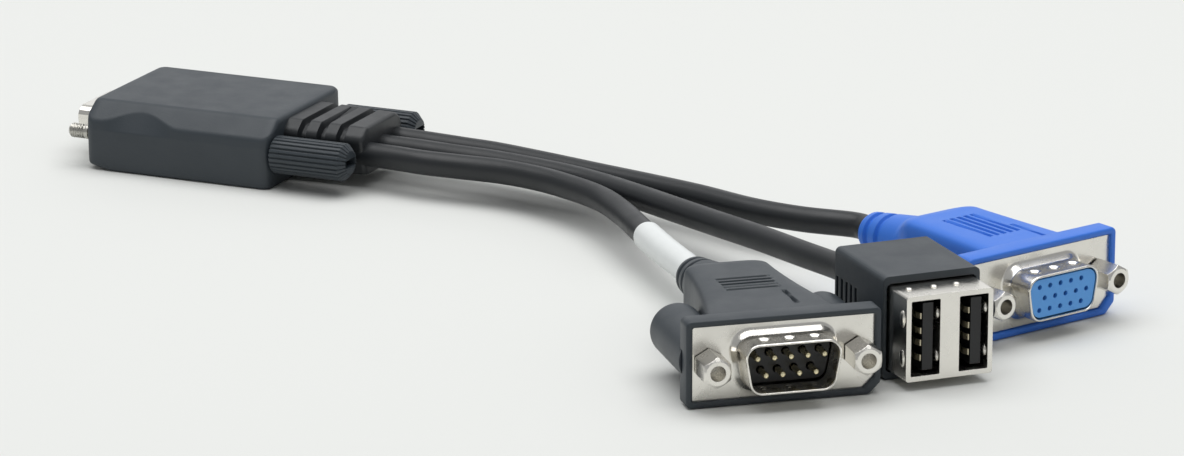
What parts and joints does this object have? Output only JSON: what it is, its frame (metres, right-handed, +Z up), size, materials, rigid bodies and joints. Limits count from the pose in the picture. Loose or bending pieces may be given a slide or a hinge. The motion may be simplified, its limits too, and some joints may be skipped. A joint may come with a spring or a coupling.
{
  "type": "console breakout cable",
  "caption": "Short breakout cable: a flat hub plug with thumbscrews splits into leads ending in a serial, a twin USB and a video connector.",
  "frame": {"origin": "on the table, on the middle line of the hub hood's underside, 18.55 mm in front of its rear face", "axes": "+X along the hub plug towards the leads, +Z up from the table, +Y to the left when looking along +X"},
  "size_m": [0.2106, 0.121, 0.0173],
  "materials": {
    "black_plastic": "fine satin texture",
    "black_rubber": "satin cable jacket",
    "black_insulator": "smooth",
    "blue_plastic": "satin",
    "pale_blue_insulator": "matt",
    "nickel": "bright nickel plate on pressed sheet",
    "steel": "turned",
    "gold_plate": "thin gold plate",
    "white_film": "satin film"
  },
  "bodies": {
    "cable": {"hub_hood": "black_plastic", "hub_strain_relief": "black_rubber", "hub_plug_shell": "nickel", "hub_contact_block": "black_insulator", "serial_hood": "black_plastic", "serial_shell": "nickel", "serial_insulator": "black_insulator", "serial_pin_1": "gold_plate", "serial_pin_2": "gold_plate", "serial_pin_3": "gold_plate", "serial_pin_4": "gold_plate", "serial_pin_5": "gold_plate", "serial_pin_6": "gold_plate", "serial_pin_7": "gold_plate", "serial_pin_8": "gold_plate", "serial_pin_9": "gold_plate", "serial_standoff_left": "nickel", "serial_standoff_right": "nickel", "usb_boot": "black_plastic", "usb_shell": "nickel", "usb_insulator": "black_insulator", "usb_contact_1": "gold_plate", "usb_contact_2": "gold_plate", "usb_contact_3": "gold_plate", "usb_contact_4": "gold_plate", "usb_contact_5": "gold_plate", "usb_contact_6": "gold_plate", "usb_contact_7": "gold_plate", "usb_contact_8": "gold_plate", "video_hood": "blue_plastic", "video_shell": "nickel", "video_insulator": "pale_blue_insulator", "video_standoff_left": "nickel", "video_standoff_right": "nickel", "serial_lead": "black_rubber", "usb_lead": "black_rubber", "video_lead": "black_rubber", "lead_label": "white_film"},
    "near_thumbscrew": {"near_jackscrew": "steel", "near_thumb_head": "black_plastic"},
    "far_thumbscrew": {"far_jackscrew": "steel", "far_thumb_head": "black_plastic"}
  },
  "joints": [
    {"name": "near_screw_turn", "type": "hinge", "parent": "cable", "child": "near_thumbscrew", "pos_m": [0.0187, -0.0124, 0.00625], "axis": [1, 0, 0], "continuous": true},
    {"name": "far_screw_turn", "type": "hinge", "parent": "cable", "child": "far_thumbscrew", "pos_m": [0.0187, 0.0124, 0.00625], "axis": [1, 0, 0], "continuous": true}
  ]
}
